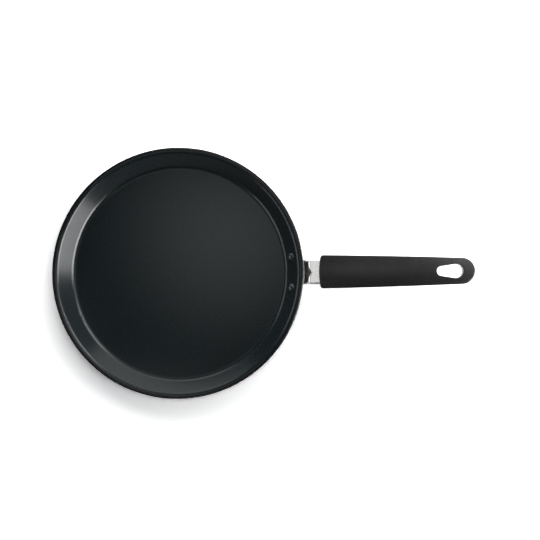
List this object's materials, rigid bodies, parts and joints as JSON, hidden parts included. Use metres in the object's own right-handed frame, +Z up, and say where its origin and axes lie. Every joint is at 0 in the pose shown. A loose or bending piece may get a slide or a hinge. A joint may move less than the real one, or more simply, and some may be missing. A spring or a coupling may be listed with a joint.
{
  "type": "crepe pan",
  "caption": "Crepe pan with a wide flat floor, a low flared wall and a rolled lip, a riveted sheet-steel bracket and a slab grip with a teardrop hanging hole.",
  "frame": {"origin": "centre of the underside, where the pan stands on the hob", "axes": "+X along the handle, away from the pan; +Z up, out of the pan; +Y completes the right-handed frame"},
  "size_m": [0.4595, 0.28, 0.0578],
  "materials": {
    "coated_aluminium": "speckled blue-black non-stick coating inside, plain black enamel outside",
    "base_steel": "brushed, perforated",
    "bracket_steel": "satin stainless steel",
    "rivet_coating": "aluminium under the same dark coating as the pan's inside",
    "grip_phenolic": "matt black heat-resistant moulding, fine grained",
    "screw_steel": "zinc-plated"
  },
  "bodies": {
    "root": {"pan_body": "coated_aluminium", "base_plate": "base_steel", "handle_bracket": "bracket_steel", "rivet_upper": "rivet_coating", "rivet_lower": "rivet_coating", "handle_grip": "grip_phenolic", "handle_screw": "screw_steel", "spring_washer": "screw_steel"}
  },
  "joints": []
}
